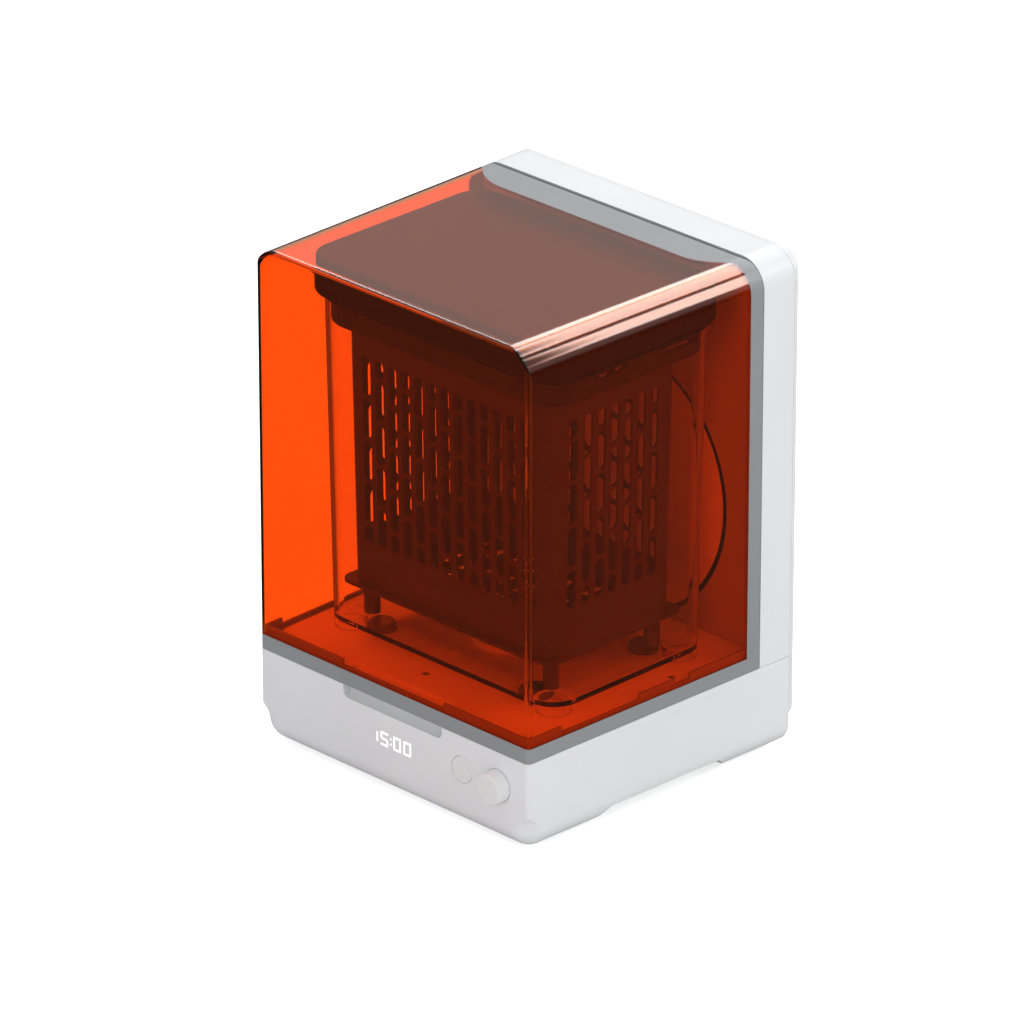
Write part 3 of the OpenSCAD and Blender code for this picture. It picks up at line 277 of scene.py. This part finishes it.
def set_materials():
    """One procedural material for each kind of surface."""
    white = moulded("housing_white", linear(232, 234, 236), 0.38)
    deck = moulded("deck_pale", linear(238, 238, 236), 0.45)
    grey = moulded("frame_grey", linear(147, 150, 153), 0.4, grain=1800.0)
    lid = moulded("lid_dark", (0.026, 0.020, 0.019, 1.0), 0.42, level=0.12)
    basket = moulded("basket_dark", (0.048, 0.034, 0.030, 1.0), 0.2, grain=1200.0)
    black = moulded("black_moulded", linear(44, 44, 46), 0.45)
    rubber = moulded("dark_rubber", linear(38, 37, 37), 0.75, grain=900.0, level=0.3)
    board = moulded("board_green", linear(32, 88, 58), 0.35)
    lens = moulded("diode_pale", linear(236, 226, 160), 0.2)
    button = moulded("button_white", linear(232, 233, 234), 0.34)
    steel = brushed("steel_plain", linear(196, 198, 202), 0.28)
    sink = brushed("sink_aluminium", linear(205, 207, 210), 0.38, (1.0, 40.0, 1.0))
    can = brushed("motor_can", linear(170, 172, 178), 0.35)
    nickel = brushed("nickel_plate", linear(206, 204, 198), 0.16)
    amber = clear("amber_clear", AMBER_TINT, AMBER_SHADE)
    tank = clear("tank_clear", TANK_TINT, TANK_TINT, haze=0.005, wavy=0.03)
    window = moulded("window_opal", linear(226, 226, 228), 0.3)
    dress(["base_tub", "rear_panel"], white)
    # Painted shade on the column's front wall, standing in for the dim light inside the hood
    wall_plane = min(v.co.y for v in nodes["column_shell"].data.vertices) + SKIN
    column = moulded("column_white_painted_shade", linear(232, 234, 236), 0.38,
                     front=(wall_plane, COLUMN_WALL_PAINTED_SHADE))
    dress(["column_shell"], column)
    dress(["deck_plate"], deck)
    dress(["hood_frame"], grey)
    dress(["tank_lid"], lid)
    dress(["basket", "basket_base", "basket_legs"], basket)
    dress(["fan_frame", "fan_rotor", "magnet_holder", "display_module", "button_switch", "hood_sensor",
           "power_inlet", "switch_frame", "power_rocker", "impeller"], black)
    dress(["rubber_feet", "tank_pads", "window_gasket", "lid_seal", "hood_bumpers"], rubber)
    dress(["led_board", "control_board"], board)
    dress(["uv_leds"], lens)
    dress(["control_knob", "push_button"], button)
    dress(["deck_screws", "rear_panel_screws", "heat_sink_screws", "fan_screws", "board_screws",
           "motor_bracket", "motor_screws", "motor_shaft", "motor_rotor", "knob_shaft", "inlet_pins",
           "hinge_brackets", "hinge_screws", "hinge_pins", "latch_plates", "impeller_pin"], steel)
    dress(["heat_sink"], sink)
    dress(["drive_motor", "knob_encoder", "power_supply"], can)
    dress(["drive_magnets", "sensor_magnet", "latch_magnets", "impeller_magnets"], nickel)
    dress(["hood_shell"], amber)
    dress(["tank"], tank)
    dress(["light_window"], window)
    dress(["display_digits"], lit("digit_light", (1.0, 1.0, 1.0, 1.0), 0.6))


# Stage and light


def straight_and_mirrored(tree):
    """Three factors of a ray: straight or through clear walls, mirrored, mirrored behind a wall."""
    path = tree.nodes.new("ShaderNodeLightPath")
    bounced = maths(tree, "GREATER_THAN", path.outputs["Glossy Depth"], 0.5)
    direct = maths(tree, "SUBTRACT", 1.0, bounced)
    through = maths(tree, "MULTIPLY", path.outputs["Is Transmission Ray"], direct)
    seen = maths(tree, "MAXIMUM", path.outputs["Is Camera Ray"], through)
    either = maths(tree, "MAXIMUM", path.outputs["Is Glossy Ray"],
                   path.outputs["Is Transmission Ray"])
    mirrored = maths(tree, "MULTIPLY", either, bounced)
    behind = maths(tree, "GREATER_THAN", path.outputs["Transmission Depth"], 0.5)
    return seen, mirrored, maths(tree, "MULTIPLY", mirrored, behind)


def set_floor():
    """A pale floor that stays white to the camera and keeps the object's shadow."""
    mesh = bpy.data.meshes.new("studio_floor")
    h = FLOOR_HALF
    mesh.from_pydata([(-h, -h, 0.0), (h, -h, 0.0), (h, h, 0.0), (-h, h, 0.0)], [], [(0, 1, 2, 3)])
    floor = bpy.data.objects.new("studio_floor", mesh)
    bpy.context.scene.collection.objects.link(floor)
    t = Tree("studio_floor")
    cloud = t.noise(1.5, 2.0)
    p = t.shader(Roughness=0.9, Specular_IOR_Level=0.0)
    pale = t.ramp(cloud, (0.86, 0.86, 0.86, 1.0), (0.88, 0.88, 0.88, 1.0))
    seen, mirrored, inside = straight_and_mirrored(t.tree)
    dark = (MIRRORED_FLOOR, MIRRORED_FLOOR, MIRRORED_FLOOR, 1.0)
    t.link(mixed(t.tree, mirrored, pale, dark), p.inputs["Base Color"])
    p.inputs["Emission Color"].default_value = (1.0, 1.0, 1.0, 1.0)
    glow = maths(t.tree, "MULTIPLY", seen, FLOOR_GLOW)
    glow = maths(t.tree, "ADD", glow, maths(t.tree, "MULTIPLY", inside, INSIDE_GLOW))
    t.link(glow, p.inputs["Emission Strength"])
    t.link(p.outputs["BSDF"], t.out.inputs["Surface"])
    mesh.materials.append(t.material)


def set_world():
    """Even white light; what reflections see is pale above the horizon and dark below it."""
    world = bpy.data.worlds.new("studio_world")
    bpy.context.scene.world = world
    world.use_nodes = True
    tree = world.node_tree
    tree.nodes.clear()
    out = tree.nodes.new("ShaderNodeOutputWorld")
    coords = tree.nodes.new("ShaderNodeTexCoord")
    split = tree.nodes.new("ShaderNodeSeparateXYZ")
    tree.links.new(coords.outputs["Generated"], split.inputs["Vector"])
    sky = tree.nodes.new("ShaderNodeMapRange")
    sky.inputs["From Min"].default_value = HORIZON[0]
    sky.inputs["From Max"].default_value = HORIZON[1]
    sky.inputs["To Min"].default_value = MIRRORED_FLOOR
    sky.inputs["To Max"].default_value = MIRRORED_SKY
    tree.links.new(split.outputs["Z"], sky.inputs["Value"])
    seen, mirrored, inside = straight_and_mirrored(tree)
    glow = maths(tree, "MULTIPLY", inside, INSIDE_GLOW)
    bright = maths(tree, "MAXIMUM", sky.outputs["Result"], glow)
    strength = between(tree, seen, between(tree, mirrored, PLAIN_LIGHT, bright), 1.0)
    background = tree.nodes.new("ShaderNodeBackground")
    background.inputs["Color"].default_value = (1.0, 1.0, 1.0, 1.0)
    tree.links.new(strength, background.inputs["Strength"])
    tree.links.new(background.outputs["Background"], out.inputs["Surface"])


def area_light(name, start, end, width, target, watts, soft):
    """A soft box that runs from start to end and faces target.

    soft is the share of its half length and of its half width over which it fades out.
    """
    start, end, target = Vector(start), Vector(end), Vector(target)
    middle = (start + end) / 2.0
    back = (middle - target).normalized()
    along = end - start
    along = (along - back * along.dot(back)).normalized()
    data = bpy.data.lights.new(name, "AREA")
    data.shape = "RECTANGLE"
    data.size = (end - start).length
    data.size_y = width
    data.energy = watts
    data.use_nodes = True
    tree = data.node_tree
    glow = next(n for n in tree.nodes if n.type == "EMISSION")
    place = tree.nodes.new("ShaderNodeNewGeometry")
    split = tree.nodes.new("ShaderNodeSeparateXYZ")
    tree.links.new(place.outputs["Parametric"], split.inputs["Vector"])
    level = 1.0
    for axis, share in zip(("X", "Y"), soft):
        off = maths(tree, "ABSOLUTE", maths(tree, "SUBTRACT", split.outputs[axis], 0.5), 0.0)
        fade = tree.nodes.new("ShaderNodeMapRange")
        fade.interpolation_type = "SMOOTHSTEP"
        fade.inputs["From Min"].default_value = 0.5
        fade.inputs["From Max"].default_value = 0.499 - share / 2.0
        tree.links.new(off, fade.inputs["Value"])
        level = maths(tree, "MULTIPLY", fade.outputs["Result"], level)
    tree.links.new(level, glow.inputs["Strength"])
    light = bpy.data.objects.new(name, data)
    light.location = middle
    light.rotation_euler = Matrix((along, back.cross(along), back)).transposed().to_euler()
    bpy.context.scene.collection.objects.link(light)


def set_lights():
    """Soft boxes, placed in metres so that the hood's rounded edges mirror the first four."""
    middle = (0.0, 0.0, 0.3)
    area_light("shoulder_start", (-1.38, 1.6, 1.60), (-0.38, 1.6, 2.22),
               0.4, middle, 13.0, (0.8, 0.4))
    area_light("shoulder_crest", (-0.55, 1.6, 2.22), (0.90, 1.6, 2.20),
               0.4, middle, 15.0, (0.15, 0.4))
    area_light("shoulder_side", (1.12, 1.6, 2.06), (1.97, 1.6, 0.98),
               0.45, middle, 21.0, (0.4, 0.4))
    area_light("front_edge", (-1.55, 1.1, 1.8), (-1.55, -0.6, 2.2),
               0.5, middle, 19.0, (0.2, 0.4))
    area_light("front_box", (0.1, -1.8, 0.9), (1.1, -1.8, 0.9),
               0.8, middle, 11.0, (0.3, 0.3))
    area_light("right_box", (1.8, -0.7, 0.8), (1.8, 0.1, 0.8),
               0.8, middle, 7.0, (0.3, 0.3))


set_camera()
set_materials()
set_floor()
set_world()
set_lights()

scene = bpy.context.scene
scene.view_settings.view_transform = "Standard"

bpy.context.view_layer.update()
